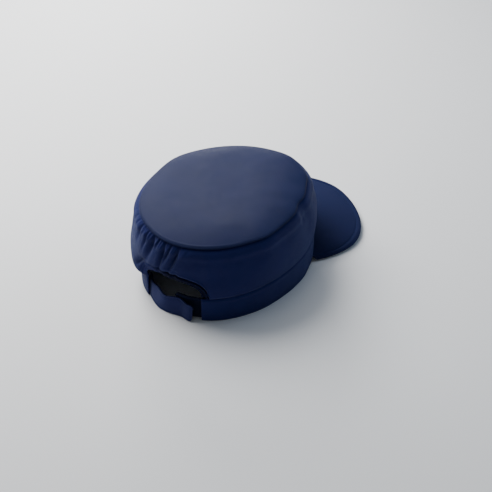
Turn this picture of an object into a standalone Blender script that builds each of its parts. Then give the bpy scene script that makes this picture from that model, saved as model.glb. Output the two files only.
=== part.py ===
"""A soft flat-topped cloth cap with a stiff peak, lying on its hem.

The back is open: an arch under the crown, closed by a strap that laps over a tab.
The peak points along -Y, +Z is up, and the cap stands on the plane z = 0.
A turn is an angle round the cap: 0 at the back centre, growing towards -X, the wearer's right.
A reach is a length along the wall, 0 at the middle of the opening, growing the same way.
"""

import math

import bmesh
import bpy
from mathutils import Vector

MM = 0.001
GAP = 0.3 * MM
WELD_DISTANCE = 0.01 * MM

# Head band: an oval wall that stands on the hem
HEAD_HALF_LENGTH = 102.8 * MM
HEAD_HALF_WIDTH = 83.4 * MM
HEAD_SQUARENESS = 2.13
BAND_HEIGHT = 32.6 * MM
BAND_WALL = 2.0 * MM
SEAM_SLOPE = 0.028
SEAM_FOLLOWS_HEM = 0.6

# Crown: a side wall up to the top seam, and a domed panel that lies on it
CROWN_HEIGHT = 93.0 * MM
CROWN_WALL = 1.8 * MM
TOP_HALF_LENGTH = 96.2 * MM
TOP_HALF_WIDTH = 80.6 * MM
TOP_SQUARENESS = 2.0
TOP_SHIFT_X = 4.0 * MM
TOP_SHIFT_Y = 2.9 * MM
TOP_OVERHANG = 0.3 * MM
TOP_RISE = 8.6 * MM
TOP_FLATNESS = 2.6
SIDE_PUFF = 3.4 * MM
SIDE_FULLNESS = 2.4
SHOULDER = 1.6

# Where the side hangs out further, most at the wearer's back left. Place and length are
# shares of the whole round, out is a share of SLOUCH.
SLOUCH = 7.0 * MM
SLOUCHES = (
    # place, length, out
    (-0.140, 0.125, 1.0),
    (0.500, 0.090, 0.4),
)

# Opening at the back: an arch with a binding round its edge
OPENING_TURN = math.radians(7.5)
OPENING_HALF_WIDTH = 36.7 * MM
OPENING_HEIGHT = 48.8 * MM
ARCH_SQUARENESS = 2.6
BINDING_WIDTH = 9.0 * MM
BINDING_WALL = 2.0 * MM
BINDING_ROLL = 1.6 * MM
BINDING_GAP = 0.6 * MM

# Closing strap, sewn inside the band's left end, and the tab under it, inside the right end
STRAP_WIDTH = 20.0 * MM
STRAP_WALL = 1.8 * MM
STRAP_REACH = 64.0 * MM
STRAP_FOOT = 0.6 * MM
STRAP_FLARE = 5.0 * MM
STRAP_FLARE_RUN = 16.0 * MM
TAB_WIDTH = 23.0 * MM
TAB_WALL = 1.8 * MM
TAB_REACH = 34.0 * MM
TAB_FOOT = 2.2 * MM
SEWN_LAP = 12.0 * MM
CLOSURE_LEAN = 0.2

# Peak: a stiff arched plate. Its rim is an oval, widest well in front of the head and cut
# off by the head oval; heights are those of its upper face.
PEAK_HALF_WIDTH = 81.3 * MM
PEAK_WIDEST_Y = -112.4 * MM
PEAK_FRONT_LENGTH = 61.0 * MM
PEAK_REAR_LENGTH = 88.7 * MM
PEAK_SQUARENESS = 1.85
PEAK_SHIFT_X = -3.2 * MM
PEAK_SWEEP = math.radians(122)
PEAK_END_WIDTH = 3.0 * MM
PEAK_WALL = 2.8 * MM
PEAK_ROOT_HEIGHT = 25.6 * MM
PEAK_CORNER_HEIGHT = 7.0 * MM
PEAK_TIP_HEIGHT = 7.0 * MM
PEAK_SIDE_HEIGHT = 3.1 * MM
PEAK_CORNER_TURN = math.radians(48)
HEM_FADE_TURN = math.radians(16)

# Gathers under the top seam. Place and drift are shares of the whole round from the back
# centre, drift down to the fold's lower end. Depth and width are shares of the two sizes
# here, reach is a share of the side's height.
FOLD_DEPTH = 3.4 * MM
FOLD_WIDTH = 3.6 * MM
FOLD_AT_SEAM = 0.3
FOLDS = (
    # place, drift, depth, width, reach
    (-0.075, -0.010, 0.5, 1.3, 0.45),
    (-0.045, -0.012, 0.7, 1.1, 0.45),
    (-0.024, -0.014, 0.6, 0.9, 0.50),
    (-0.006, -0.020, 1.0, 0.9, 0.55),
    (0.007, -0.010, 0.6, 0.7, 0.30),
    (0.020, -0.018, 0.9, 0.8, 0.60),
    (0.033, -0.018, 0.7, 0.8, 0.50),
    (0.048, -0.024, 1.0, 1.0, 0.60),
)

# Soft dents in the side. Place and length are shares of the whole round, height and
# tallness shares of the side's height, depth a share of FOLD_DEPTH.
DENTS = (
    # place, height, depth, length, tallness
    (0.090, 0.45, 0.6, 0.030, 0.22),
    (-0.045, 0.28, 0.6, 0.016, 0.14),
)

# Mesh cells
ARCH_COLUMNS = 44
PLAIN_COLUMNS = 42
GATHERED_COLUMNS = 12
GATHERED_TURN = math.radians(30)
SIDE_ROWS = 11
BAND_COLUMNS = 60
BAND_ROWS = 3
TOP_CELLS = 20
BINDING_ROWS = 3
PEAK_COLUMNS = 32
PEAK_ROWS = 6
STRAP_COLUMNS = 22
TAB_COLUMNS = 13
CLOSURE_ROWS = 3


def ease(share):
    """Smooth step from 0 to 1."""
    share = min(max(share, 0.0), 1.0)
    return share * share * (3 - 2 * share)


def mix(start, end, share):
    return start + (end - start) * share


def oval(turn, half_length, half_width, squareness):
    """Point of a squared oval in the direction of a turn."""
    across = abs(math.sin(turn)) / half_width
    along = abs(math.cos(turn)) / half_length
    radius = (across ** squareness + along ** squareness) ** (-1 / squareness)
    return Vector((-math.sin(turn), math.cos(turn), 0)) * radius


def head_point(turn):
    return oval(turn, HEAD_HALF_LENGTH, HEAD_HALF_WIDTH, HEAD_SQUARENESS)


def outward(turn):
    """Level direction out of the head oval."""
    step = math.radians(0.5)
    along = head_point(turn + step) - head_point(turn - step)
    return Vector((along.y, -along.x, 0)).normalized()


def reach_turn(reach):
    return OPENING_TURN + reach / head_point(OPENING_TURN).length


# Peak surface and the hem that it lifts
def from_front(turn):
    return abs(math.remainder(turn - math.pi, math.tau))


def root_height(turn):
    """Upper face of the peak where it meets the band."""
    share = min(from_front(turn) / PEAK_CORNER_TURN, 1)
    return mix(PEAK_CORNER_HEIGHT, PEAK_ROOT_HEIGHT, math.cos(share * math.pi / 2))


def rim_height(turn):
    """Upper face of the peak at its free edge."""
    share = min(from_front(turn) / PEAK_CORNER_TURN, 1)
    return mix(PEAK_TIP_HEIGHT, PEAK_SIDE_HEIGHT, share ** 2)


def peak_rim(angle):
    """Free edge of the peak: angle 0 is its tip, and the edge is widest at 90 degrees."""
    power = 2 / PEAK_SQUARENESS
    along = math.cos(angle)
    length = PEAK_FRONT_LENGTH if along > 0 else PEAK_REAR_LENGTH
    x = PEAK_SHIFT_X + math.copysign(abs(math.sin(angle)) ** power, angle) * PEAK_HALF_WIDTH
    y = PEAK_WIDEST_Y - math.copysign(abs(along) ** power, along) * length
    return Vector((x, y, 0))


def hem_height(turn):
    """The hem lies on the ground, and in front it follows the root of the peak."""
    fade = ease((from_front(turn) - PEAK_CORNER_TURN) / HEM_FADE_TURN)
    return (root_height(turn) - PEAK_WALL) * (1 - fade)


def seam_height(turn):
    """Seam between the band and the crown."""
    return BAND_HEIGHT - SEAM_SLOPE * head_point(turn).y + SEAM_FOLLOWS_HEM * hem_height(turn)


# Crown surface
def slouch(turn):
    out = 0
    for place, length, share in SLOUCHES:
        off = math.remainder(turn - math.tau * place, math.tau) / (math.tau * length)
        out += share * math.exp(-off * off)
    return out * SLOUCH


def fold_depth(turn, share):
    """How far the gathers and dents draw the side in."""
    below_seam = 1 - share
    depth = 0
    for place, drift, deep, wide, reach in FOLDS:
        run = below_seam / reach
        line = math.tau * (place + drift * run)
        off = math.remainder(turn - line, math.tau) * head_point(turn).length / (wide * FOLD_WIDTH)
        start = mix(FOLD_AT_SEAM, 1, ease(run * 4))
        depth += deep * start * (1 - ease(run)) * math.exp(-off * off)
    for place, height, deep, length, tallness in DENTS:
        off = math.remainder(turn - math.tau * place, math.tau) / (math.tau * length)
        rise = (share - height) / tallness
        depth += deep * math.exp(-off * off - rise * rise)
    return depth * FOLD_DEPTH


def top_point(turn):
    """Point of the top seam, without its height."""
    shift = Vector((TOP_SHIFT_X, TOP_SHIFT_Y, 0))
    return shift + oval(turn, TOP_HALF_LENGTH, TOP_HALF_WIDTH, TOP_SQUARENESS)


def side_point(turn, height):
    """Point of the crown's outer face."""
    seam = seam_height(turn)
    share = (height - seam) / (CROWN_HEIGHT - seam)
    fullness = 1 - abs(2 * share - 1) ** SIDE_FULLNESS
    point = head_point(turn).lerp(top_point(turn), max(share, 0) ** SHOULDER)
    point += outward(turn) * ((SIDE_PUFF + slouch(turn)) * fullness - fold_depth(turn, share))
    point.z = height
    return point


# Arch over the opening
def arch_point(angle, half_width, top):
    """Reach and height on an arch; the angle runs from -90 to 90 degrees, foot to foot."""
    reach = math.sin(angle) * half_width
    rise = max(1 - abs(math.sin(angle)) ** ARCH_SQUARENESS, 0) ** (1 / ARCH_SQUARENESS)
    return reach, mix(seam_height(reach_turn(reach)), top, rise)


def arch_angle(share):
    return math.pi * (share - 0.5)


def bound_half_width():
    return OPENING_HALF_WIDTH + BINDING_WIDTH


def bound_top():
    return OPENING_HEIGHT + BINDING_WIDTH


def spread(start, end, count):
    """Evenly spaced values after start, up to end."""
    return [mix(start, end, (step + 1) / count) for step in range(count)]


def side_columns():
    """Turn and lower edge of each column of the side, once round from the arch's left foot."""
    columns = []
    for step in range(ARCH_COLUMNS + 1):
        reach, height = arch_point(arch_angle(step / ARCH_COLUMNS), bound_half_width(), bound_top())
        columns.append((reach_turn(reach), height))
    left_foot = reach_turn(-bound_half_width()) + math.tau
    gathers = left_foot - GATHERED_TURN
    turns = spread(reach_turn(bound_half_width()), gathers, PLAIN_COLUMNS)
    turns += spread(gathers, left_foot, GATHERED_COLUMNS)
    return columns + [(turn, seam_height(turn)) for turn in turns]


# Blender objects
def new_material(name, colour, roughness):
    material = bpy.data.materials.new(name)
    material.use_nodes = True
    shader = material.node_tree.nodes["Principled BSDF"]
    shader.inputs["Base Color"].default_value = (*colour, 1)
    shader.inputs["Roughness"].default_value = roughness
    shader.inputs["Metallic"].default_value = 0
    material.diffuse_color = (*colour, 1)
    return material


def bent_grid(name, columns, rows, place):
    """Mesh of a grid whose cells place(across, up) moves, both counted from 0 to 1."""
    shape = bmesh.new()
    bmesh.ops.create_grid(shape, x_segments=columns, y_segments=rows, size=1)
    for vert in shape.verts:
        vert.co = place((vert.co.x + 1) / 2, (vert.co.y + 1) / 2)
    bmesh.ops.remove_doubles(shape, verts=shape.verts, dist=WELD_DISTANCE)
    mesh = bpy.data.meshes.new(name)
    shape.to_mesh(mesh)
    shape.free()
    return mesh


def add_part(mesh, material):
    mesh.materials.append(material)
    mesh.shade_smooth()
    part = bpy.data.objects.new(mesh.name, mesh)
    cap.objects.link(part)
    part.parent = origin
    return part


def cloth(mesh, material, wall):
    """Sheet of cloth: the mesh is its outer face, and the wall lies inside it."""
    part = add_part(mesh, material)
    solidify = part.modifiers.new("Wall", "SOLIDIFY")
    solidify.thickness = wall
    solidify.offset = -1
    solidify.use_even_offset = True
    return part


def build_crown_side():
    columns = side_columns()

    def place(across, up):
        turn, foot = columns[round(across * (len(columns) - 1))]
        closer_at_top = 1 - (1 - up) ** 1.5
        return side_point(turn, mix(foot, CROWN_HEIGHT, closer_at_top))

    mesh = bent_grid("crown_side", len(columns) - 1, SIDE_ROWS, place)
    return cloth(mesh, new_material("Side cloth", (0.010, 0.015, 0.045), 0.85), CROWN_WALL)


def build_crown_top():
    centre = Vector((TOP_SHIFT_X, TOP_SHIFT_Y, 0))
    edge_height = CROWN_HEIGHT + GAP + CROWN_WALL

    def place(across, up):
        across = 2 * across - 1
        up = 2 * up - 1
        x = across * math.sqrt(1 - up * up / 2)
        y = up * math.sqrt(1 - across * across / 2)
        share = math.hypot(x, y)
        turn = math.atan2(-x, y)
        edge = top_point(turn) + outward(turn) * TOP_OVERHANG
        point = centre.lerp(edge, share)
        point.z = edge_height + TOP_RISE * (1 - share ** TOP_FLATNESS)
        return point

    mesh = bent_grid("crown_top", TOP_CELLS, TOP_CELLS, place)
    return cloth(mesh, new_material("Top cloth", (0.045, 0.058, 0.125), 0.85), CROWN_WALL)


def build_band():
    right_end = reach_turn(OPENING_HALF_WIDTH)
    left_end = reach_turn(-OPENING_HALF_WIDTH) + math.tau

    def place(across, up):
        turn = mix(right_end, left_end, across)
        point = head_point(turn)
        point.z = mix(hem_height(turn), seam_height(turn) - GAP, up)
        return point

    mesh = bent_grid("band", BAND_COLUMNS, BAND_ROWS, place)
    return cloth(mesh, new_material("Band cloth", (0.009, 0.014, 0.042), 0.85), BAND_WALL)


def build_opening_binding():
    def place(across, up):
        angle = arch_angle(across)
        inner_reach, inner_height = arch_point(angle, OPENING_HALF_WIDTH, OPENING_HEIGHT)
        outer_half_width = bound_half_width() - BINDING_GAP
        outer_reach, outer_height = arch_point(angle, outer_half_width, bound_top() - BINDING_GAP)
        turn = reach_turn(mix(inner_reach, outer_reach, up))
        point = side_point(turn, mix(inner_height, outer_height, up))
        return point - outward(turn) * BINDING_ROLL * (1 - up) ** 2

    mesh = bent_grid("opening_binding", ARCH_COLUMNS, BINDING_ROWS, place)
    return cloth(mesh, new_material("Binding cloth", (0.006, 0.010, 0.030), 0.9), BINDING_WALL)


def closure_point(reach, height, depth):
    """Point of the strap or the tab: depth is how far it lies inside the band's outer face."""
    turn = reach_turn(reach)
    point = head_point(turn) - outward(turn) * (depth + CLOSURE_LEAN * height)
    point.z = height
    return point


def sewn_depth():
    return BAND_WALL + GAP


def build_closing_strap():
    start = -OPENING_HALF_WIDTH - SEWN_LAP
    end = -OPENING_HALF_WIDTH + STRAP_REACH
    tab_end = OPENING_HALF_WIDTH - TAB_REACH
    over_tab = sewn_depth() - GAP - STRAP_WALL

    def place(across, up):
        reach = mix(start, end, across)
        climb = ease((reach + OPENING_HALF_WIDTH) / (tab_end + OPENING_HALF_WIDTH))
        flare = ease((reach - end + STRAP_FLARE_RUN) / STRAP_FLARE_RUN)
        depth = mix(sewn_depth(), over_tab, climb) - STRAP_FLARE * flare
        return closure_point(reach, STRAP_FOOT + STRAP_WIDTH * up, depth)

    mesh = bent_grid("closing_strap", STRAP_COLUMNS, CLOSURE_ROWS, place)
    return cloth(mesh, new_material("Strap cloth", (0.023, 0.037, 0.117), 0.85), STRAP_WALL)


def build_strap_tab():
    start = OPENING_HALF_WIDTH - TAB_REACH
    end = OPENING_HALF_WIDTH + SEWN_LAP

    def place(across, up):
        return closure_point(mix(start, end, across), TAB_FOOT + TAB_WIDTH * up, sewn_depth())

    mesh = bent_grid("strap_tab", TAB_COLUMNS, CLOSURE_ROWS, place)
    return cloth(mesh, new_material("Tab cloth", (0.006, 0.009, 0.028), 0.85), TAB_WALL)


def build_peak():
    def place(across, up):
        rim = peak_rim(mix(PEAK_SWEEP, -PEAK_SWEEP, across))
        turn = math.atan2(-rim.x, rim.y)
        root = head_point(turn)
        root += root.normalized() * GAP
        width = max(rim.length - root.length, PEAK_END_WIDTH)
        point = root + root.normalized() * width * up
        point.z = mix(root_height(turn), rim_height(turn), up)
        return point

    mesh = bent_grid("peak", PEAK_COLUMNS, PEAK_ROWS, place)
    shape = bmesh.new()
    shape.from_mesh(mesh)
    sheet = bmesh.ops.extrude_face_region(shape, geom=shape.faces[:])
    lower = [item for item in sheet["geom"] if isinstance(item, bmesh.types.BMVert)]
    bmesh.ops.translate(shape, verts=lower, vec=(0, 0, -PEAK_WALL))
    bmesh.ops.recalc_face_normals(shape, faces=shape.faces[:])
    shape.to_mesh(mesh)
    shape.free()
    return add_part(mesh, new_material("Peak cloth", (0.012, 0.021, 0.076), 0.85))


def stand_over_origin(parts):
    """Move the shared origin so that the whole cap is centred over it and stands on z = 0."""
    view = bpy.context.evaluated_depsgraph_get()
    corners = [
        part.matrix_world @ Vector(corner)
        for part in parts
        for corner in part.evaluated_get(view).bound_box
    ]
    low = [min(corner[axis] for corner in corners) for axis in range(3)]
    high = [max(corner[axis] for corner in corners) for axis in range(3)]
    origin.location = (-(low[0] + high[0]) / 2, -(low[1] + high[1]) / 2, -low[2])


for leftover in list(bpy.data.objects):
    bpy.data.objects.remove(leftover)

cap = bpy.data.collections.new("peaked_cap")
bpy.context.scene.collection.children.link(cap)
origin = bpy.data.objects.new("cap_origin", None)
cap.objects.link(origin)

cap_parts = [
    build_crown_top(),
    build_crown_side(),
    build_opening_binding(),
    build_band(),
    build_closing_strap(),
    build_strap_tab(),
    build_peak(),
]
stand_over_origin(cap_parts)
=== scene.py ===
# %% [markdown]
# # A soft peaked cap, lying on a table
#
# The cap is sewn from a few pieces of navy cotton: a domed top, a side that is gathered at the
# back, a head band, a stiff peak, and a strap that laps over a tab to close the opening at the
# back. The solids of these pieces are loaded first. Each visible piece is then built over its
# solid from the same sizes, as a fine sheet of cloth with its own seams, gathers and stitches.

# %% Load the solids
import math

import bpy
import numpy as np
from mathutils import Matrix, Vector, noise


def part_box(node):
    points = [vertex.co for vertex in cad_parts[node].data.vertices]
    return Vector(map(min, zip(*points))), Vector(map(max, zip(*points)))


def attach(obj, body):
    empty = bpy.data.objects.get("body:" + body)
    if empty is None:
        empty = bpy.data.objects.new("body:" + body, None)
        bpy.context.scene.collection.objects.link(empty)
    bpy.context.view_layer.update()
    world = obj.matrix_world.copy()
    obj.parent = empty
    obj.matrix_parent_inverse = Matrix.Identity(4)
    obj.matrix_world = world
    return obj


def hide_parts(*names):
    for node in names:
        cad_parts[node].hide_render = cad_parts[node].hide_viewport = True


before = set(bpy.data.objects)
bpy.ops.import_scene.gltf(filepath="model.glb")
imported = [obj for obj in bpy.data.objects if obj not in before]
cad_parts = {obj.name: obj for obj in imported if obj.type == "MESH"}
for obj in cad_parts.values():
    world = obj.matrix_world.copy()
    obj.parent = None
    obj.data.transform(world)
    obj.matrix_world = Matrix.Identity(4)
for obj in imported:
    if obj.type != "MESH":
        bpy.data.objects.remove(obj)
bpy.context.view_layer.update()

MM = 0.001
print("solids:", ", ".join(sorted(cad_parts)))

# %% [markdown]
# ## The place and size of the head
#
# Everything on a cap is measured from the head that it goes on. The band's solid gives the
# width of the head oval and where its centre is, and the rest is written as real lengths. A
# turn is an angle round the cap, 0 at the back centre, growing towards the wearer's right.

# %% Sizes that the whole cap shares
band_low, band_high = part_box("band")
HEAD_HALF_WIDTH = (band_high.x - band_low.x) / 2
HEAD_HALF_LENGTH = 102.8 * MM
HEAD_SQUARENESS = 2.13
HEAD = Vector(((band_low.x + band_high.x) / 2, band_low.y + HEAD_HALF_LENGTH, 0))
BAND_HEIGHT = 32.6 * MM
BAND_WALL = 2.0 * MM
SEAM_SLOPE = 0.028
SEAM_FOLLOWS_HEM = 0.6
CROWN_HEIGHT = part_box("crown_side")[1].z
CROWN_WALL = 1.8 * MM
GAP = 0.3 * MM
print("head oval:", round(2 * HEAD_HALF_LENGTH / MM, 1), "by", round(2 * HEAD_HALF_WIDTH / MM, 1), "mm")
print("head centre:", [round(value / MM, 2) for value in HEAD])


# %% [markdown]
# ## The camera
#
# The photo looks down on the cap from behind and from the wearer's right. The lens is long, so
# the ovals of the cap hardly taper. The camera turns a little past the cap, because the cap
# sits left of the middle and above it in the photo.

# %% Camera
CAMERA_AZIMUTH = math.radians(225.2)
CAMERA_ELEVATION = math.radians(40.2)
CAMERA_DISTANCE = 1413 * MM
LENS = 95
FRAME_PIXELS = 492
CAP_PIXEL_OFFSET = (-17.6, -19.8)
CAP_MIDDLE = HEAD + Vector((0, 0, 50 * MM))


def add_camera():
    level = math.cos(CAMERA_ELEVATION)
    back = Vector((
        math.sin(CAMERA_AZIMUTH) * level,
        -math.cos(CAMERA_AZIMUTH) * level,
        math.sin(CAMERA_ELEVATION),
    ))
    right = Vector((math.cos(CAMERA_AZIMUTH), math.sin(CAMERA_AZIMUTH), 0))
    data = bpy.data.cameras.new("photo_camera")
    data.lens = LENS
    pixel = data.sensor_width / LENS / FRAME_PIXELS
    across, up = CAP_PIXEL_OFFSET
    aim = -back - right * across * pixel + back.cross(right) * up * pixel
    camera = bpy.data.objects.new("photo_camera", data)
    camera.location = CAP_MIDDLE + back * CAMERA_DISTANCE
    camera.rotation_euler = aim.to_track_quat("-Z", "Y").to_euler()
    bpy.context.scene.collection.objects.link(camera)
    bpy.context.scene.camera = camera
    print("camera at", [round(value, 3) for value in camera.location])


add_camera()


# %% [markdown]
# ## Small curves
#
# The cap's outlines are all soft ovals. Three helpers are enough to draw them: a smooth step,
# a mix of two values, and a squared oval, which is an ellipse with slightly fuller corners.

# %% Curve helpers
def ease(share):
    share = min(max(share, 0.0), 1.0)
    return share * share * (3 - 2 * share)


def mix(start, end, share):
    return start + (end - start) * share


def bump(offset, width):
    """A soft hill of height 1."""
    return math.exp(-(offset / width) ** 2)


def apart(turn, other):
    return math.remainder(turn - other, math.tau)


def oval(turn, half_length, half_width, squareness):
    across = abs(math.sin(turn)) / half_width
    along = abs(math.cos(turn)) / half_length
    radius = (across ** squareness + along ** squareness) ** (-1 / squareness)
    return Vector((-math.sin(turn), math.cos(turn), 0)) * radius


def head_point(turn):
    return oval(turn, HEAD_HALF_LENGTH, HEAD_HALF_WIDTH, HEAD_SQUARENESS)


def line_length(points):
    return sum((b - a).length for a, b in zip(points, points[1:]))


def outward(turn):
    step = math.radians(0.5)
    along = head_point(turn + step) - head_point(turn - step)
    return Vector((along.y, -along.x, 0)).normalized()


ring = [head_point(math.radians(step)) for step in range(361)]
print("round the head:", round(line_length(ring) / MM), "mm")

# %% [markdown]
# ## Where the peak lifts the hem
#
# The peak is stiff and arched, so on a table it stands on its sides and holds the front of the
# band up. The hem follows the root of the peak, and the seam above follows it part of the way.

# %% Peak heights and the two lower seams
PEAK_HALF_WIDTH = 81.3 * MM
PEAK_WIDEST_Y = -112.4 * MM
PEAK_FRONT_LENGTH = 61.0 * MM
PEAK_REAR_LENGTH = 88.7 * MM
PEAK_SQUARENESS = 1.85
PEAK_SHIFT_X = -3.2 * MM
PEAK_SWEEP = math.radians(122)
PEAK_END_WIDTH = 3.0 * MM
PEAK_WALL = 2.8 * MM
PEAK_ROOT_HEIGHT = 25.6 * MM
PEAK_CORNER_HEIGHT = 7.0 * MM
PEAK_TIP_HEIGHT = 7.0 * MM
PEAK_SIDE_HEIGHT = 2.0 * MM
PEAK_CORNER_TURN = math.radians(48)
HEM_FADE_TURN = math.radians(16)


def from_front(turn):
    return abs(apart(turn, math.pi))


def root_height(turn):
    share = min(from_front(turn) / PEAK_CORNER_TURN, 1)
    return mix(PEAK_CORNER_HEIGHT, PEAK_ROOT_HEIGHT, math.cos(share * math.pi / 2))


def rim_height(turn):
    share = min(from_front(turn) / PEAK_CORNER_TURN, 1)
    return mix(PEAK_TIP_HEIGHT, PEAK_SIDE_HEIGHT, share ** 2)


def hem_height(turn):
    fade = ease((from_front(turn) - PEAK_CORNER_TURN) / HEM_FADE_TURN)
    return (root_height(turn) - PEAK_WALL) * (1 - fade)


def seam_height(turn):
    return BAND_HEIGHT - SEAM_SLOPE * head_point(turn).y + SEAM_FOLLOWS_HEM * hem_height(turn)


print("hem in front:", round(hem_height(math.pi) / MM, 1), "mm above the table")

# %% [markdown]
# ## The side of the crown
#
# The side is one strip of cloth. It is the size of the head at the band, a little smaller at
# the top seam, and it puffs out in between. It slouches at the wearer's back left. The gathers
# are rows of a short table: a place round the cap, how far the fold drifts on its way down,
# and its depth, width and reach. The larger folds lie where the solid has them, but most are
# narrower and deeper, some twice as deep. Fine folds, creases and small pleats are added here.
# A place is a share of the whole way round.

# %% Side surface
TOP_HALF_LENGTH = 96.2 * MM
TOP_HALF_WIDTH = 80.6 * MM
TOP_SQUARENESS = 2.0
TOP_SHIFT = Vector((4.0 * MM, 2.9 * MM, 0))
TOP_OVERHANG = 0.3 * MM
SIDE_PUFF = 3.4 * MM
SIDE_FULLNESS = 2.4
SHOULDER = 1.6
SLOUCH = 5.2 * MM
SLOUCHES = (
    # place, length, out
    (-0.140, 0.125, 1.0),
    (0.500, 0.090, 0.4),
)
FOLD_DEPTH = 3.4 * MM
FOLD_WIDTH = 3.6 * MM
FOLD_AT_SEAM = 0.45
FOLDS = (
    # place, drift, depth, width, reach
    (-0.075, -0.010, 0.4, 0.9, 0.45),
    (-0.045, -0.012, 0.8, 0.7, 0.50),
    (-0.024, -0.014, 0.9, 0.5, 0.55),
    (-0.006, -0.026, 2.0, 1.0, 0.75),
    (0.007, -0.012, 1.0, 0.5, 0.30),
    (0.020, -0.028, 1.9, 0.6, 0.95),
    (0.033, -0.028, 1.4, 0.5, 0.60),
    (0.048, -0.040, 2.0, 0.7, 0.85),
)
FINE_FOLDS = (
    # place, drift, depth, width, reach
    (-0.060, -0.008, 0.30, 0.40, 0.25),
    (-0.034, -0.010, 0.35, 0.40, 0.30),
    (-0.015, -0.012, 0.45, 0.35, 0.30),
    (0.001, -0.010, 0.45, 0.30, 0.22),
    (0.013, -0.010, 0.50, 0.30, 0.25),
    (0.027, -0.012, 0.45, 0.30, 0.28),
    (0.041, -0.014, 0.40, 0.30, 0.25),
    (0.056, -0.016, 0.30, 0.40, 0.30),
    (0.066, -0.018, 0.20, 0.50, 0.22),
)
CREASES = (
    # upper place, upper height, lower place, lower height, depth, width
    (-0.044, 0.99, -0.022, 0.92, 0.5, 0.5),
    (-0.030, 0.44, -0.063, 0.16, 0.9, 0.9),
    (-0.032, 0.36, -0.048, 0.04, 0.7, 0.8),
    (0.012, 0.40, -0.004, 0.12, 0.5, 0.9),
    (0.040, 0.55, 0.030, 0.25, 0.5, 0.9),
    (0.345, 0.99, 0.352, 0.50, 0.4, 1.6),
    (0.327, 0.99, 0.330, 0.65, 0.3, 1.2),
)
DENTS = (
    # place, height, depth, length, tallness
    (0.090, 0.45, 0.6, 0.030, 0.22),
    (-0.045, 0.28, 0.6, 0.016, 0.14),
)
PLEAT_PITCH = 4.6 * MM
PLEAT_DEPTH = 0.24
PLEAT_REACH = 0.13
PLEAT_LEAN = 5.0 * MM
PLEAT_PLACE = -0.045
PLEAT_LENGTH = 0.065
SEAM_FOLD_RUN = 0.25
CREASE_SHARPNESS = 0.7
SAG_OUT = 4.0 * MM
SAG_DROP = 8.0 * MM
SAGS = (
    # place, height, length, tallness, out, drop
    (-0.064, 0.12, 0.030, 0.20, 1.0, 1.0),
    (-0.110, 0.22, 0.040, 0.22, 0.8, 0.3),
)
EDGE_SHIFT = 1.0 * MM
EDGE_SHIFTS = (
    # place, length, out, up
    (0.590, 0.075, -1.6, -1.0),
    (0.740, 0.050, 1.0, 2.0),
    (0.975, 0.030, -1.2, 0.0),
    (0.480, 0.035, 2.2, 1.4),
    (0.432, 0.024, 3.4, 0.0),
    (0.340, 0.019, -3.2, 0.0),
    (0.215, 0.030, 2.0, 0.0),
)


def near(turn, place, length):
    return bump(apart(turn, math.tau * place), math.tau * length)


def slouch(turn):
    return SLOUCH * sum(out * near(turn, place, length) for place, length, out in SLOUCHES)


def pleat(turn, share):
    """Small even pleats right below the top seam."""
    run = (1 - share) / PLEAT_REACH
    line = apart(turn, 0) * head_point(turn).length + PLEAT_LEAN * run
    hollow = 0.5 + 0.5 * math.cos(math.tau * line / PLEAT_PITCH)
    return PLEAT_DEPTH * hollow * (1 - ease(run)) * near(turn, PLEAT_PLACE, PLEAT_LENGTH)


def fold_depth(turn, share):
    depth = pleat(turn, share)
    for place, drift, deep, wide, reach in FOLDS + FINE_FOLDS:
        run = (1 - share) / reach
        if run < 1:
            line = math.tau * (place + drift * run)
            off = apart(turn, line) * head_point(turn).length
            start = mix(FOLD_AT_SEAM, 1, ease(run / SEAM_FOLD_RUN))
            depth += deep * start * (1 - ease(run)) * bump(off, wide * FOLD_WIDTH)
    for upper, top, lower, foot, deep, wide in CREASES:
        run = (top - share) / (top - foot)
        if 0 < run < 1:
            off = apart(turn, math.tau * mix(upper, lower, run)) * head_point(turn).length
            depth += deep * math.sin(math.pi * run) ** CREASE_SHARPNESS * bump(off, wide * FOLD_WIDTH)
    for place, height, deep, length, tallness in DENTS:
        depth += deep * near(turn, place, length) * bump(share - height, tallness)
    return depth * FOLD_DEPTH


def edge_shift(turn, column):
    return EDGE_SHIFT * sum(row[column] * near(turn, row[0], row[1]) for row in EDGE_SHIFTS)


def top_point(turn):
    rim = oval(turn, TOP_HALF_LENGTH, TOP_HALF_WIDTH, TOP_SQUARENESS)
    return TOP_SHIFT + rim + rim.normalized() * edge_shift(turn, 2)


def sag(turn, share):
    """How far the cloth hangs out over the band, and how far it drops."""
    out, drop = 0, 0
    for place, height, length, tallness, outwards, down in SAGS:
        amount = near(turn, place, length) * bump(share - height, tallness)
        out += SAG_OUT * outwards * amount
        drop += SAG_DROP * down * amount
    return out, drop


def side_point(turn, height):
    seam = seam_height(turn)
    share = (height - seam) / (CROWN_HEIGHT - seam)
    fullness = 1 - abs(2 * share - 1) ** SIDE_FULLNESS
    out, drop = sag(turn, share)
    point = head_point(turn).lerp(top_point(turn), max(share, 0) ** SHOULDER)
    point += outward(turn) * ((SIDE_PUFF + slouch(turn)) * fullness - fold_depth(turn, share) + out)
    point.z = height - drop + edge_shift(turn, 3) * max(share, 0)
    return point


print("folds:", len(FOLDS), "larger,", len(FINE_FOLDS), "finer ones,", len(CREASES), "creases")

# %% [markdown]
# ## The opening at the back
#
# The opening is an arch. Its edge is bound with a strip of the same cloth. Both outlines of the
# strip are arches of one kind, so one function gives a point of either.

# %% Arch
OPENING_TURN = math.radians(7.5)
OPENING_HALF_WIDTH = 36.7 * MM
OPENING_HEIGHT = 48.8 * MM
ARCH_SQUARENESS = 2.6
BINDING_WIDTH = 9.0 * MM
BINDING_WALL = 2.0 * MM
BINDING_ROLL = 1.6 * MM
BINDING_GAP = 0.3 * MM


def reach_turn(reach):
    return OPENING_TURN + reach / head_point(OPENING_TURN).length


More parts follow.
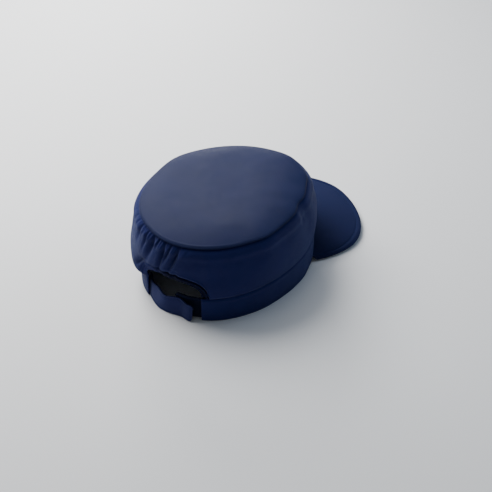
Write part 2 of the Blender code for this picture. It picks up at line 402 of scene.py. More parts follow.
def arch_point(share, half_width, top):
    """Turn and height on an arch, from its left foot at 0 to its right foot at 1."""
    sine = math.sin(math.pi * (share - 0.5))
    turn = reach_turn(sine * half_width)
    rise = max(1 - abs(sine) ** ARCH_SQUARENESS, 0) ** (1 / ARCH_SQUARENESS)
    return turn, mix(seam_height(turn), top, rise)


print("opening:", round(2 * OPENING_HALF_WIDTH / MM), "mm wide")

# %% [markdown]
# ## Making a sheet of cloth
#
# A sheet starts as a grid of points. Each point is placed by a function of two shares, across
# and up, and its flat place on the cloth goes into a UV map in metres, so that the weave keeps
# its scale. Solidify gives the sheet its wall, inwards, and a small Bevel rounds its raw edges.

# %% Sheet helpers
EDGE_ROUND = 0.6 * MM
EDGE_SEGMENTS = 2
SHARP_EDGE = math.radians(50)


def sheet_mesh(name, columns, rows, place, closed=False):
    wide = columns if closed else columns + 1
    levels = range(rows + 1)
    points = [place(column / columns, row / rows) for row in levels for column in range(wide)]
    grid = [(row, column) for row in range(rows) for column in range(columns)]
    corners = ((0, 0), (0, 1), (1, 1), (1, 0))
    faces = [[(row + up) * wide + (column + over) % wide for up, over in corners] for row, column in grid]
    mesh = bpy.data.meshes.new(name)
    mesh.from_pydata([point + HEAD for point in points], [], faces)
    middle_row = [points[rows // 2 * wide + column % wide] for column in range(columns + 1)]
    middle_column = [points[row * wide + columns // 2] for row in levels]
    width = line_length(middle_row)
    height = line_length(middle_column)
    flat = [
        ((column + over) / columns * width, (row + up) / rows * height)
        for row, column in grid
        for up, over in corners
    ]
    layer = mesh.uv_layers.new(name="cloth")
    layer.data.foreach_set("uv", np.array(flat).ravel())
    mesh.shade_smooth()
    print(name, "sheet:", round(width / MM), "by", round(height / MM), "mm,", len(faces), "faces")
    return mesh


def add_piece(mesh, material, node):
    mesh.materials.append(material)
    piece = bpy.data.objects.new(mesh.name, mesh)
    bpy.context.scene.collection.objects.link(piece)
    if node:
        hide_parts(node)
    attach(piece, "root")
    return piece


def give_wall(piece, wall, edge=EDGE_ROUND):
    solidify = piece.modifiers.new("Wall", "SOLIDIFY")
    solidify.thickness = wall
    solidify.offset = -1
    bevel = piece.modifiers.new("Soft edges", "BEVEL")
    bevel.width = edge
    bevel.segments = EDGE_SEGMENTS
    bevel.limit_method = "ANGLE"
    bevel.angle_limit = SHARP_EDGE
    return piece


# %% [markdown]
# ## Node trees written as sums
#
# Materials and node modifiers are both trees of small sums. A Field stands for one output of a
# node, and adding or multiplying Fields adds the Math nodes for it. A Graph adds any other
# node: its type, its settings, and then its inputs.

# %% Field and Graph
class Field:
    def __init__(self, graph, socket):
        self.graph = graph
        self.socket = socket

    def math(self, operation, first, second=0.0, third=0.0):
        inputs = {0: first, 1: second, 2: third}
        return self.graph.node("ShaderNodeMath", {"operation": operation}, inputs)

    def __add__(self, other):
        return self.math("ADD", self, other)

    def __radd__(self, other):
        return self.math("ADD", other, self)

    def __sub__(self, other):
        return self.math("SUBTRACT", self, other)

    def __rsub__(self, other):
        return self.math("SUBTRACT", other, self)

    def __mul__(self, other):
        return self.math("MULTIPLY", self, other)

    def __rmul__(self, other):
        return self.math("MULTIPLY", other, self)

    def __truediv__(self, other):
        return self.math("DIVIDE", self, other)

    def __rtruediv__(self, other):
        return self.math("DIVIDE", other, self)

    def __pow__(self, other):
        return self.math("POWER", self, other)

    def sine(self):
        return self.math("SINE", self)

    def cosine(self):
        return self.math("COSINE", self)

    def root(self):
        return self.math("SQRT", self)

    def exponent(self):
        return self.math("EXPONENT", self)

    def clamp(self):
        return self.math("MINIMUM", self.math("MAXIMUM", self, 0.0), 1.0)


class Graph:
    def __init__(self, tree):
        self.tree = tree

    def node(self, kind, settings, inputs, output=0):
        made = self.tree.nodes.new(kind)
        for name, value in settings.items():
            setattr(made, name, value)
        for place, value in inputs.items():
            if isinstance(value, Field):
                self.tree.links.new(value.socket, made.inputs[place])
            else:
                made.inputs[place].default_value = value
        return Field(self, made.outputs[output] if len(made.outputs) else None)

    def parts(self, vector):
        return [self.node("ShaderNodeSeparateXYZ", {}, {0: vector}, axis) for axis in range(3)]

    def point(self, x, y, z):
        return self.node("ShaderNodeCombineXYZ", {}, {0: x, 1: y, 2: z})


print("node helpers ready")

# %% [markdown]
# ## Navy cotton
#
# All pieces are cut from one smooth, matt cotton. Its weave is a product of two sine waves over
# the flat cloth. Slow noise makes the dye a little uneven, and a second noise gives the soft
# creases of a cap that has been handled. Cotton fibres catch light at a low angle, which the
# sheen does, so lit faces turn greyish while shaded ones stay a deep blue. The top, the peak and
# the tab get darker copies of the navy, as painted shade, the top's also greyer, as painted
# sheen, and the strap a lighter one, as painted light. The binding's colour darkens along its
# length with painted shade, from the first to the second of its listed places, down to the third
# value.

# %% Cotton material
NAVY = (0.0108, 0.0145, 0.078)
# The top's own copy, darker and greyer than the side's: painted shade and painted sheen.
TOP_NAVY_PAINTED_SHADE_AND_SHEEN = (0.0096, 0.0142, 0.053)
# The strap's own copy, lighter than the side's: painted light.
STRAP_NAVY_PAINTED_LIGHT = (0.0220, 0.0260, 0.098)
# The tab's own copy, much darker, for the shadow behind the strap: painted shade.
TAB_NAVY_PAINTED_SHADE = (0.004, 0.006, 0.022)
# The peak's own copy, darker than the side's: painted shade.
PEAK_NAVY_PAINTED_SHADE = (0.0094, 0.0134, 0.050)
THREAD_NAVY = (0.010, 0.022, 0.085)
# Painted shade on the binding, darkest on its rolled-in right part: where it starts, where it is full, and
# how dark.
BINDING_PAINTED_SHADE = (36 * MM, 56 * MM, 0.2)
SHEEN_TINT = (0.60, 0.72, 1.0)
THREAD = 0.55 * MM
WEAVE_DEPTH = 0.05 * MM
CREASE_SIZE = 14 * MM
CREASE_DEPTH = 0.5 * MM
DYE_SIZE = 30 * MM
DYE_CHANGE = 0.12
WEAVE_SHADE = 0.08
ROUGH_CHANGE = 0.16
SHEEN_ROUGHNESS = 0.45


def cotton(name, colour=NAVY, sheen=0.13, crease=1.0, shine=0.04, rough=0.7, shaded=None):
    material = bpy.data.materials.new(name)
    material.use_nodes = True
    material.node_tree.nodes.clear()
    graph = Graph(material.node_tree)
    flat = graph.node("ShaderNodeUVMap", {"uv_map": "cloth"}, {})
    across, up = graph.parts(flat)[:2]
    place = graph.node("ShaderNodeTexCoord", {}, {}, "Object")
    dye = graph.node("ShaderNodeTexNoise", {}, {"Vector": place, "Scale": 1 / DYE_SIZE, "Detail": 4.0})
    fold = graph.node("ShaderNodeTexNoise", {}, {"Vector": place, "Scale": 1 / CREASE_SIZE, "Detail": 3.0})
    threads = (across * (math.tau / THREAD)).sine() * (up * (math.tau / THREAD)).sine()
    shade = 1 + (dye - 0.5) * (2 * DYE_CHANGE) + threads * WEAVE_SHADE
    # Painted shade: the colour darkens between two places along the cloth.
    if shaded:
        start, end, dark = shaded
        shade = shade * (1 - ((across - start) / (end - start)).clamp() * (1 - dark))
    tinted = graph.node("ShaderNodeVectorMath", {"operation": "SCALE"}, {0: colour, "Scale": shade})
    creased = graph.node("ShaderNodeBump", {}, {"Height": fold, "Distance": CREASE_DEPTH * crease})
    woven = graph.node("ShaderNodeBump", {}, {
        "Height": threads, "Distance": WEAVE_DEPTH, "Normal": creased,
    })
    cloth = graph.node("ShaderNodeBsdfPrincipled", {}, {
        "Base Color": tinted,
        "Roughness": rough + (dye - 0.5) * ROUGH_CHANGE,
        "Normal": woven,
        "Specular IOR Level": shine,
        "Sheen Weight": sheen,
        "Sheen Roughness": SHEEN_ROUGHNESS,
        "Sheen Tint": (*SHEEN_TINT, 1),
    })
    graph.node("ShaderNodeOutputMaterial", {}, {"Surface": cloth})
    return material


TOP_CLOTH = cotton("top_cloth", colour=TOP_NAVY_PAINTED_SHADE_AND_SHEEN, sheen=0.0, crease=0.4, shine=0.06, rough=0.43)
SIDE_CLOTH = cotton("side_cloth")
BINDING_CLOTH = cotton("binding_cloth", sheen=0.0, shine=0.03, shaded=BINDING_PAINTED_SHADE)
BAND_CLOTH = cotton("band_cloth")
STRAP_CLOTH = cotton("strap_cloth", colour=STRAP_NAVY_PAINTED_LIGHT)
TAB_CLOTH = cotton("tab_cloth", colour=TAB_NAVY_PAINTED_SHADE)
PEAK_CLOTH = cotton("peak_cloth", colour=PEAK_NAVY_PAINTED_SHADE, sheen=0.03, crease=0.3, shine=0.03)
THREAD_CLOTH = cotton("sewing_thread", colour=THREAD_NAVY, crease=0.0)
print("materials:", len(bpy.data.materials))

# %% [markdown]
# ## Crown side
#
# The first columns of the sheet follow the bound arch and the others the band seam, so its foot
# is one closed line. It tucks in along both seams, with a slight ridge beside each tuck, where
# the seam allowance lies underneath. Slow noise keeps the cloth from looking machined.

# %% Crown side
SIDE_COLUMNS = 520
SIDE_ROWS = 72
ARCH_COLUMNS = 0.27
ROW_CROWDING = 1.25
TUCK_DEPTH = 1.7 * MM
TUCK_WIDTH = 1.0 * MM
BAND_SEAM_TUCK = 0.6
GATHERED_TUCK = 0.08
SHOULDER_PUFF = 1.8 * MM
SHOULDER_PLACE = 7.5 * MM
SHOULDER_WIDTH = 5.0 * MM
GATHERED_END = 0.35
GATHERED_FADE = 0.3
SHOULDERS = (
    # place, length, extra puff
    (-0.230, 0.090, 1.1),
)
RIDGE_HEIGHT = 0.4 * MM
RIDGE_PLACE = 3.6 * MM
RIDGE_WIDTH = 1.5 * MM
WAVE_SIZE = 24 * MM
WAVE_HEIGHT = 1.0 * MM


def bound_arch(share, inset=0.0):
    half_width = OPENING_HALF_WIDTH + BINDING_WIDTH - inset
    return arch_point(share, half_width, OPENING_HEIGHT + BINDING_WIDTH - inset)


def side_foot(across):
    if across < ARCH_COLUMNS:
        return bound_arch(across / ARCH_COLUMNS)
    left, right = bound_arch(0)[0], bound_arch(1)[0]
    turn = mix(right, left + math.tau, (across - ARCH_COLUMNS) / (1 - ARCH_COLUMNS))
    return turn, seam_height(turn)


def tuck(distance):
    """How far cloth lies inwards at a distance from its seam."""
    ridge = RIDGE_HEIGHT * bump(distance - RIDGE_PLACE, RIDGE_WIDTH)
    return TUCK_DEPTH * bump(distance, TUCK_WIDTH) - ridge


def foot_tuck(share):
    """How strongly the foot is tucked: hardly on the arch's gathered left, less on the band."""
    if share >= 1:
        return BAND_SEAM_TUCK
    return mix(GATHERED_TUCK, 1, ease((share - GATHERED_END) / GATHERED_FADE))


def wave(point):
    return WAVE_HEIGHT * noise.noise(point / WAVE_SIZE)


def place_side(across, up):
    turn, foot = side_foot(across)
    height = mix(foot, CROWN_HEIGHT, 1 - (1 - up) ** ROW_CROWDING)
    point = side_point(turn, height)
    at_foot = tuck(height - foot) * foot_tuck(across / ARCH_COLUMNS)
    inwards = tuck(CROWN_HEIGHT - height) + at_foot - wave(point) * math.sin(math.pi * up)
    fuller = 1 + sum(extra * near(turn, place, length) for place, length, extra in SHOULDERS)
    puff = SHOULDER_PUFF * fuller * bump(CROWN_HEIGHT - height - SHOULDER_PLACE, SHOULDER_WIDTH)
    return point + outward(turn) * (puff - inwards)


side_mesh = sheet_mesh("side_of_crown", SIDE_COLUMNS, SIDE_ROWS, place_side, closed=True)
side = give_wall(add_piece(side_mesh, SIDE_CLOTH, "crown_side"), CROWN_WALL)

# %% [markdown]
# ## Binding of the opening
#
# The binding lies between two arches in the surface of the side, and rolls inwards at its free
# edge, more so towards the right.

# %% Binding
BINDING_EXTRA_ROLL = 1.6 * MM
BINDING_ROLL_START = 0.4
BINDING_ROLL_FADE = 0.3
BINDING_ROLL_SHARPNESS = 1.3
BINDING_WAVE = 0.4
BINDING_EDGE = 0.8 * MM
BINDING_COLUMNS = 170
BINDING_ROWS = 16


def place_binding(across, up):
    inner_turn, inner_height = arch_point(across, OPENING_HALF_WIDTH, OPENING_HEIGHT)
    outer_turn, outer_height = bound_arch(across, BINDING_GAP)
    turn = mix(inner_turn, outer_turn, up)
    point = side_point(turn, mix(inner_height, outer_height, up))
    seam_side = TUCK_DEPTH * bump((1 - up) * BINDING_WIDTH, TUCK_WIDTH) * foot_tuck(across)
    extra = 1 + ease((across - BINDING_ROLL_START) / BINDING_ROLL_FADE)
    roll = (BINDING_ROLL + BINDING_EXTRA_ROLL * extra) * (1 - up) ** BINDING_ROLL_SHARPNESS
    return point - outward(turn) * (roll + seam_side - wave(point) * BINDING_WAVE)


binding_mesh = sheet_mesh("binding", BINDING_COLUMNS, BINDING_ROWS, place_binding)
binding = give_wall(add_piece(binding_mesh, BINDING_CLOTH, "opening_binding"), BINDING_WALL, BINDING_EDGE)

# %% [markdown]
# ## Head band
#
# The band runs from one side of the opening round the front to the other. Its hem is lifted in
# front by the peak.

# %% Band
BAND_COLUMNS = 420
BAND_ROWS = 28
BAND_WAVE = 0.5
BAND_WAVE_CROWDING = 1.4
BAND_EDGE = 0.7 * MM
SEAM_OVERLAP = 0.5 * MM


def place_band(across, up):
    turn = mix(reach_turn(OPENING_HALF_WIDTH), reach_turn(-OPENING_HALF_WIDTH) + math.tau, across)
    foot = hem_height(turn)
    top = seam_height(turn) + SEAM_OVERLAP
    height = mix(foot, top, up)
    point = head_point(turn) + Vector((0, 0, height))
    inwards = BAND_SEAM_TUCK * tuck(top - height) - BAND_WAVE * wave(point * BAND_WAVE_CROWDING)
    return point - outward(turn) * inwards


band_mesh = sheet_mesh("head_band", BAND_COLUMNS, BAND_ROWS, place_band)
band = give_wall(add_piece(band_mesh, BAND_CLOTH, "band"), BAND_WALL, BAND_EDGE)

# %% [markdown]
# ## Strap and tab
#
# The strap is sewn inside the left end of the band, and the tab inside the right end. Both have
# rounded corners. The strap bulges and ripples, laps over the tab, and its free end stands off.

# %% Strap and tab
STRAP_WIDTH = 20.0 * MM
STRAP_WALL = 1.8 * MM
STRAP_REACH = 64.0 * MM
STRAP_FOOT = 0.6 * MM
STRAP_FLARE = 5.0 * MM
STRAP_FLARE_RUN = 16.0 * MM
STRAP_RIPPLE = 0.8 * MM
STRAP_RIPPLE_RUN = 27.0 * MM
STRAP_SEAM = 2.4 * MM
STRAP_SEAM_DEPTH = 0.4 * MM
STRAP_BULGE = 4.0 * MM
STRAP_BULGE_REACH = -14.0 * MM
STRAP_BULGE_RUN = 19.0 * MM
TAB_WIDTH = 23.0 * MM
TAB_WALL = 1.8 * MM
TAB_REACH = 34.0 * MM
TAB_FOOT = 2.2 * MM
SEWN_LAP = 12.0 * MM
CLOSURE_LEAN = 0.2
SEWN_DEPTH = BAND_WALL + GAP
CORNER = 4.0 * MM
STRAP_COLUMNS = 150
TAB_COLUMNS = 100
CLOSURE_ROWS = 24


def closure_point(reach, height, depth):
    turn = reach_turn(reach)
    point = head_point(turn) - outward(turn) * (depth + CLOSURE_LEAN * height)
    point.z = height
    return point


def corner_cut(distance):
    """How much a strip narrows on each edge at a distance from its rounded end."""
    inside = min(max(CORNER - distance, 0), CORNER)
    return CORNER - math.sqrt(CORNER ** 2 - inside ** 2)


def strap_depth(reach):
    end = STRAP_REACH - OPENING_HALF_WIDTH
    tab_end = OPENING_HALF_WIDTH - TAB_REACH
    climb = ease((reach + OPENING_HALF_WIDTH) / (tab_end + OPENING_HALF_WIDTH))
    flare = ease((reach - end + STRAP_FLARE_RUN) / STRAP_FLARE_RUN)
    bulge = bump(reach - STRAP_BULGE_REACH, STRAP_BULGE_RUN)
    lapped = mix(SEWN_DEPTH, SEWN_DEPTH - GAP - STRAP_WALL, climb)
    return lapped - STRAP_FLARE * flare - STRAP_BULGE * bulge


def place_strap(across, up):
    start = -OPENING_HALF_WIDTH - SEWN_LAP
    end = STRAP_REACH - OPENING_HALF_WIDTH
    reach = mix(start, end, across)
    cut = corner_cut(end - reach)
    ripple = STRAP_RIPPLE * math.sin(math.tau * reach / STRAP_RIPPLE_RUN)
    height = mix(STRAP_FOOT + cut, STRAP_FOOT + STRAP_WIDTH - cut + ripple, up)
    seam_step = STRAP_SEAM_DEPTH * bump((1 - up) * STRAP_WIDTH - STRAP_SEAM, STRAP_SEAM / 3)
    return closure_point(reach, height, strap_depth(reach) + seam_step + ripple * up)


def place_tab(across, up):
    start = OPENING_HALF_WIDTH - TAB_REACH
    reach = mix(start, OPENING_HALF_WIDTH + SEWN_LAP, across)
    cut = corner_cut(reach - start)
    return closure_point(reach, mix(TAB_FOOT + cut, TAB_FOOT + TAB_WIDTH - cut, up), SEWN_DEPTH)


strap_mesh = sheet_mesh("strap", STRAP_COLUMNS, CLOSURE_ROWS, place_strap)
strap = give_wall(add_piece(strap_mesh, STRAP_CLOTH, "closing_strap"), STRAP_WALL)
tab_mesh = sheet_mesh("tab", TAB_COLUMNS, CLOSURE_ROWS, place_tab)
tab = give_wall(add_piece(tab_mesh, TAB_CLOTH, "strap_tab"), TAB_WALL)

# %% [markdown]
# ## Peak
#
# The peak grows out of the band in front. Each of its columns runs from the band straight
# outwards to the rim. A stitched groove follows the rim, and the edge outside it is padded.

# %% Peak
PEAK_COLUMNS = 230
PEAK_ROWS = 56
GROOVE_IN_FRONT = 5.0 * MM
GROOVE_AT_SIDE = 10.0 * MM
GROOVE_TURN = math.radians(45)
GROOVE_DEPTH = 0.6 * MM
GROOVE_WIDTH = 0.8 * MM
PADDING = 0.6 * MM
PEAK_EDGE = 1.1 * MM
RIM_PUSH = 2.6 * MM
RIM_PUSH_ANGLE = math.radians(4)
RIM_PUSH_RUN = math.radians(30)


def peak_rim(angle):
    power = 2 / PEAK_SQUARENESS
    along = math.cos(angle)
    length = PEAK_FRONT_LENGTH if along > 0 else PEAK_REAR_LENGTH
    x = PEAK_SHIFT_X + math.copysign(abs(math.sin(angle)) ** power, angle) * PEAK_HALF_WIDTH
    push = RIM_PUSH * bump(angle - RIM_PUSH_ANGLE, RIM_PUSH_RUN)
    return Vector((x, PEAK_WIDEST_Y - math.copysign(abs(along) ** power, along) * length - push, 0))


def peak_column(across):
    """Root, direction and width of the peak at one column, and its turn round the head."""
    rim = peak_rim(mix(PEAK_SWEEP, -PEAK_SWEEP, across))
    turn = math.atan2(-rim.x, rim.y)
    direction = head_point(turn).normalized()
    root = head_point(turn) + direction * GAP
    return root, direction, max(rim.length - root.length, PEAK_END_WIDTH), turn


def groove_place(across):
    """The groove lies further from the rim at the sides than in front."""
    angle = abs(mix(PEAK_SWEEP, -PEAK_SWEEP, across))
    return mix(GROOVE_IN_FRONT, GROOVE_AT_SIDE, ease((angle - GROOVE_TURN) / GROOVE_TURN))


def place_peak(across, up):
    root, direction, width, turn = peak_column(across)
    point = root + direction * width * up
    to_rim = width * (1 - up)
    place = groove_place(across)
    full = ease(width / (3 * place))
    padded = PADDING * bump(to_rim - place / 2, place / 3)
    groove = GROOVE_DEPTH * bump(to_rim - place, GROOVE_WIDTH)
    point.z = mix(root_height(turn), rim_height(turn), up) + (padded - groove) * full
    return point


peak_mesh = sheet_mesh("cap_peak", PEAK_COLUMNS, PEAK_ROWS, place_peak)
peak = give_wall(add_piece(peak_mesh, PEAK_CLOTH, "peak"), PEAK_WALL, PEAK_EDGE)

# %% [markdown]
# ## Crown top, grown by a node tree
#
# The top follows one rule: a round dome whose edge rolls down into the seam. The tree bends a
# plain grid, with the turn along one side and the way out from the middle along the other. The
# rule's sizes are named inputs, so another cap only needs other numbers. A slight ridge at the
# back shows the seam allowance underneath.

# %% Crown top
TOP_RISE = 8.6 * MM
TOP_FLATNESS = 3.6
TOP_EDGE = CROWN_HEIGHT + GAP + CROWN_WALL
TOP_ROLL_REACH = 3.2 * MM
TOP_ROLL_DROP = 1.2 * MM
TOP_ROLL_ROWS = 0.16
TOP_ROLL_TURN = math.radians(150)
TOP_ROW_CROWDING = 1.5
TOP_RIDGE_TURN = 0.07
TOP_RIDGE_RUN = 0.07
TOP_RIDGE_HEIGHT = 0.40 * MM
TOP_RIDGE_PLACE = 2.5 * MM
TOP_RIDGE_WIDTH = 0.8 * MM
TOP_WAVE_HEIGHT = 1.1 * MM
TOP_WAVE_SIZE = 34 * MM
TOP_WAVE_FADE = 6
TOP_RAW_EDGE = 0.3 * MM
WELD_DISTANCE = 0.01 * MM
TOP_COLUMNS = 240
TOP_ROWS = 110
TOP_INPUTS = (
    # name, value
    ("Half width", TOP_HALF_WIDTH + TOP_OVERHANG),
    ("Half length", TOP_HALF_LENGTH + TOP_OVERHANG),
    ("Edge height", TOP_EDGE),
    ("Rise", TOP_RISE),
    ("Flatness", TOP_FLATNESS),
    ("Roll reach", TOP_ROLL_REACH),
    ("Roll drop", TOP_ROLL_DROP),
    ("Ridge height", TOP_RIDGE_HEIGHT),
    ("Ridge place", TOP_RIDGE_PLACE),
    ("Ridge width", TOP_RIDGE_WIDTH),
    ("Wave height", TOP_WAVE_HEIGHT),
    ("Wave size", TOP_WAVE_SIZE),
)


def new_group(name, inputs, material):
    """A Geometry Nodes group with float inputs, its Graph, and its inputs as Fields."""
    group = bpy.data.node_groups.new(name, "GeometryNodeTree")
    group.interface.new_socket("Geometry", in_out="INPUT", socket_type="NodeSocketGeometry")
    for label, value in inputs:
        socket = group.interface.new_socket(label, in_out="INPUT", socket_type="NodeSocketFloat")
        socket.default_value = value
    cloth = group.interface.new_socket("Cloth", in_out="INPUT", socket_type="NodeSocketMaterial")
    cloth.default_value = material
    group.interface.new_socket("Geometry", in_out="OUTPUT", socket_type="NodeSocketGeometry")
    graph = Graph(group)
    entry = group.nodes.new("NodeGroupInput")
    fields = {socket.name: Field(graph, socket) for socket in entry.outputs if socket.name}
    return group, graph, fields


def end_group(graph, geometry, cloth):
    real = graph.node("GeometryNodeRealizeInstances", {}, {"Geometry": geometry})
    smooth = graph.node("GeometryNodeSetShadeSmooth", {}, {"Geometry": real})
    painted = graph.node("GeometryNodeSetMaterial", {}, {"Geometry": smooth, "Material": cloth})
    output = graph.tree.nodes.new("NodeGroupOutput")
    graph.tree.links.new(painted.socket, output.inputs[0])


def grow(source, group, inputs, name):
    """Runs the group on an object and keeps the result as a plain mesh."""
    modifier = source.modifiers.new("Grow", "NODES")
    modifier.node_group = group
    items = group.interface.items_tree
    sockets = {item.name: item.identifier for item in items if item.in_out == "INPUT"}
    for label, value in inputs:
        modifier[sockets[label]] = value
    view = bpy.context.evaluated_depsgraph_get()
    mesh = bpy.data.meshes.new_from_object(source.evaluated_get(view), depsgraph=view)
    bpy.data.objects.remove(source)
    mesh.name = name
    return mesh


def wrapped(angle):
    return angle.math("WRAP", angle, math.pi, -math.pi)


def dome_group():
    group, graph, given = new_group("Rolled dome", TOP_INPUTS, TOP_CLOTH)
    grid = graph.node("GeometryNodeMeshGrid", {}, {
        "Size X": 1.0, "Size Y": 1.0, "Vertices X": TOP_COLUMNS + 1, "Vertices Y": TOP_ROWS + 1,
    })
    across, up = graph.parts(graph.node("GeometryNodeInputPosition", {}, {}))[:2]
    turn = (0.5 - across) * math.tau
    out = up + 0.5
    dome = 1 - (1 - (out / (1 - TOP_ROLL_ROWS)).clamp()) ** TOP_ROW_CROWDING
    roll = ((out - (1 - TOP_ROLL_ROWS)) / TOP_ROLL_ROWS).clamp() * TOP_ROLL_TURN
    edge_out, edge_up = 0.0, 0.0
    for place, length, outwards, upwards in EDGE_SHIFTS:
        off = wrapped(turn - math.tau * place) / (math.tau * length)
        hill = (off ** 2 * -1).exponent()
        edge_out = edge_out + hill * (outwards * EDGE_SHIFT)
        edge_up = edge_up + hill * (upwards * EDGE_SHIFT)
    sideways = (turn.sine() / given["Half width"]) ** 2
    lengthways = (turn.cosine() / given["Half length"]) ** 2
    rim = 1 / (sideways + lengthways).root()
    edge = rim + edge_out
    reach = (edge - given["Roll reach"]) * dome + given["Roll reach"] * roll.sine()
    share = reach / edge
    x = TOP_SHIFT.x + HEAD.x - reach * turn.sine()
    y = TOP_SHIFT.y + HEAD.y + reach * turn.cosine()
    lift = given["Rise"] * (1 - share ** given["Flatness"])
    flat_place = graph.point(x, y, 0.0)
    waves = graph.node("ShaderNodeTexNoise", {}, {
        "Vector": flat_place, "Scale": 1 / given["Wave size"], "Detail": 1.0,
    })
    uneven = (waves - 0.5) * given["Wave height"] * 2 * (1 - share ** TOP_WAVE_FADE)
    to_ridge = (edge - reach - given["Ridge place"]) / given["Ridge width"]
    to_back = wrapped(turn - math.tau * TOP_RIDGE_TURN) / (math.tau * TOP_RIDGE_RUN)
    ridge_here = (to_back ** 2 * -1).exponent() * (roll.cosine() + 1) / 2
    ridge = given["Ridge height"] * (to_ridge ** 2 * -1).exponent() * ridge_here
    down = given["Roll drop"] * (1 - roll.cosine())
    z = given["Edge height"] + lift + uneven + edge_up * share ** 2 + ridge - down
    place = graph.point(x, y, z)
    kept = {"data_type": "FLOAT2", "domain": "CORNER"}
    marked = graph.node("GeometryNodeStoreNamedAttribute", kept, {
        "Geometry": grid, "Name": "cloth", "Value": flat_place,
    })
    bent = graph.node("GeometryNodeSetPosition", {}, {"Geometry": marked, "Position": place})
    closed = graph.node("GeometryNodeMergeByDistance", {}, {"Geometry": bent, "Distance": WELD_DISTANCE})
    end_group(graph, closed, given["Cloth"])
    return group


def empty_source(name):
    source = bpy.data.objects.new(name, bpy.data.meshes.new(name))
    bpy.context.scene.collection.objects.link(source)
    return source


top_mesh = grow(empty_source("dome_source"), dome_group(), TOP_INPUTS, "top_of_crown")
top_normal = top_mesh.polygons[len(top_mesh.polygons) // 2].normal
print("top:", len(top_mesh.polygons), "faces")
print("its middle face points", [round(value, 2) for value in top_normal])
top_mesh.materials.clear()
top = give_wall(add_piece(top_mesh, TOP_CLOTH, "crown_top"), CROWN_WALL, TOP_RAW_EDGE)

# %% [markdown]
# ## Stitches
#
# Every row of stitches is a line of points just above the cloth. One node tree lays a small
# drawn-out ball at even steps along any such line, turned to follow it.

# %% Stitch rows
STITCH_PITCH = 3.3 * MM
STITCH_LENGTH = 2.5 * MM
STITCH_THICKNESS = 0.55 * MM
STITCH_LIFT = 0.1 * MM
BALL_SEGMENTS = 8
BALL_RINGS = 6
PEAK_STITCH_ENDS = (0.04, 0.96)
PEAK_STITCH_ROOM = 1.6
STITCH_INPUTS = (
    # name, value
    ("Pitch", STITCH_PITCH),
    ("Length", STITCH_LENGTH),
    ("Thickness", STITCH_THICKNESS),
)


def stitch_group():
    group, graph, given = new_group("Row of stitches", STITCH_INPUTS, THREAD_CLOTH)
    curve = graph.node("GeometryNodeMeshToCurve", {}, {"Mesh": given["Geometry"]})
    even = graph.node("GeometryNodeResampleCurve", {"mode": "LENGTH"}, {
        "Curve": curve, "Length": given["Pitch"],
    })
    along = graph.node("GeometryNodeInputTangent", {}, {})
    turned = graph.node("FunctionNodeAlignRotationToVector", {"axis": "Z"}, {"Vector": along})
    ball = graph.node("GeometryNodeMeshUVSphere", {}, {
        "Segments": BALL_SEGMENTS, "Rings": BALL_RINGS, "Radius": 0.5,
    })
    size = graph.point(given["Thickness"], given["Thickness"], given["Length"])
    laid = graph.node("GeometryNodeInstanceOnPoints", {}, {
        "Points": even, "Instance": ball, "Rotation": turned, "Scale": size,
    })
    end_group(graph, laid, given["Cloth"])
    return group


STITCHES = stitch_group()


def stitch_row(name, points):
    line = bpy.data.meshes.new(name + "_line")
    edges = [(step, step + 1) for step in range(len(points) - 1)]
    line.from_pydata([point + HEAD for point in points], edges, [])
    source = bpy.data.objects.new(name + "_line", line)
    bpy.context.scene.collection.objects.link(source)
    mesh = grow(source, STITCHES, STITCH_INPUTS, name)
    mesh.materials.clear()
    row = add_piece(mesh, THREAD_CLOTH, None)
    return row


def line_on(place, start, end, steps):
    """Points just above a sheet, from one pair of shares, across and up, to another."""
    found = []
    for step in range(steps + 1):
        across = mix(start[0], end[0], step / steps)
        up = mix(start[1], end[1], step / steps)
        point = place(across, up)
        found.append(point + outward(math.atan2(-point.x, point.y)) * STITCH_LIFT)
    return found


band_rows = [
    stitch_row("stitches_band_top", line_on(place_band, (0.003, 0.90), (0.997, 0.90), 400)),
    stitch_row("stitches_hem", line_on(place_band, (0.003, 0.12), (0.997, 0.12), 400)),
]
arch_in = line_on(place_binding, (0.01, 0.16), (0.99, 0.16), 120)
arch_out = line_on(place_binding, (0.01, 0.80), (0.99, 0.80), 120)
binding_rows = [
    stitch_row("stitches_arch_in", arch_in),
    stitch_row("stitches_arch_out", arch_out),
]
strap_top = line_on(place_strap, (0.02, 0.89), (0.96, 0.89), 80)
strap_foot = line_on(place_strap, (0.02, 0.11), (0.96, 0.11), 80)
strap_end = line_on(place_strap, (0.965, 0.11), (0.965, 0.89), 20)
strap_rows = [
    stitch_row("stitches_strap_top", strap_top),
    stitch_row("stitches_strap_foot", strap_foot),
    stitch_row("stitches_strap_end", strap_end),
]
tab_rows = [stitch_row("stitches_tab", line_on(place_tab, (0.06, 0.9), (0.98, 0.9), 40))]


def peak_stitches(steps=300):
    points = []
    for step in range(steps + 1):
        across = mix(*PEAK_STITCH_ENDS, step / steps)
        width = peak_column(across)[2]
        inside = groove_place(across)
        if width > PEAK_STITCH_ROOM * inside:
            points.append(place_peak(across, 1 - inside / width) + Vector((0, 0, STITCH_LIFT)))
    return points


peak_rows = [stitch_row("stitches_peak", peak_stitches())]
print("rows of stitches:", len(band_rows + binding_rows + strap_rows + tab_rows + peak_rows))
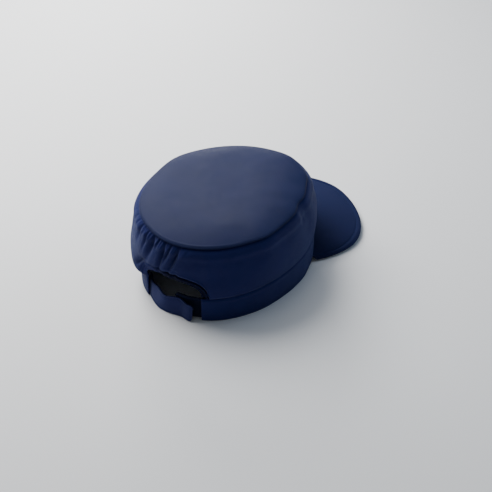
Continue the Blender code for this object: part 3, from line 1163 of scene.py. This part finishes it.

# %% [markdown]

# %% [markdown]
# ## Table and light
#
# The table is plain and pale. The main soft lamp stands to the left of the picture and a little
# behind the cap. A low lamp behind gives the top its shine, a wide one hangs above, and a weak
# bluish one on the right keeps the peak from going black. A pale world fills the shadows.

# %% Table and light
FLOOR_SIZE = 6.0
FLOOR_TONE = (0.78, 0.78, 0.78)
FLOOR_ROUGHNESS = 0.9
WORLD_TONE = (0.78, 0.87, 1.0)
WORLD_STRENGTH = 0.20
LAMPS = (
    # name, azimuth, elevation, distance, width, power, colour
    ("key_lamp", 88, 50, 0.95, 0.75, 15.0, (1.0, 1.0, 1.0)),
    ("back_lamp", 122, 21, 1.0, 0.45, 7.5, (1.0, 1.0, 1.0)),
    ("sky_lamp", 110, 70, 1.5, 1.3, 6.5, (1.0, 1.0, 1.0)),
    ("right_lamp", 205, 28, 1.5, 1.2, 4.2, (0.55, 0.75, 1.0)),
)


def add_table():
    mesh = bpy.data.meshes.new("table")
    half = FLOOR_SIZE / 2
    corners = [(-half, -half, 0), (half, -half, 0), (half, half, 0), (-half, half, 0)]
    mesh.from_pydata(corners, [], [(0, 1, 2, 3)])
    material = bpy.data.materials.new("table_paint")
    material.use_nodes = True
    shader = material.node_tree.nodes["Principled BSDF"]
    shader.inputs["Base Color"].default_value = (*FLOOR_TONE, 1)
    shader.inputs["Roughness"].default_value = FLOOR_ROUGHNESS
    mesh.materials.append(material)
    table = bpy.data.objects.new("table", mesh)
    bpy.context.scene.collection.objects.link(table)


def add_light():
    world = bpy.data.worlds.new("pale_room")
    world.use_nodes = True
    background = world.node_tree.nodes["Background"]
    background.inputs["Color"].default_value = (*WORLD_TONE, 1)
    background.inputs["Strength"].default_value = WORLD_STRENGTH
    bpy.context.scene.world = world
    for name, azimuth, elevation, distance, width, power, colour in LAMPS:
        bearing, height = math.radians(azimuth), math.radians(elevation)
        level = math.cos(height)
        towards = Vector((math.sin(bearing) * level, math.cos(bearing) * level, math.sin(height)))
        data = bpy.data.lights.new(name, "AREA")
        data.shape = "DISK"
        data.size = width
        data.energy = power
        data.color = colour
        lamp = bpy.data.objects.new(name, data)
        lamp.location = CAP_MIDDLE + towards * distance
        lamp.rotation_euler = towards.to_track_quat("Z", "Y").to_euler()
        bpy.context.scene.collection.objects.link(lamp)
        print(name, "of", power, "W,", distance, "m away")


add_table()
add_light()
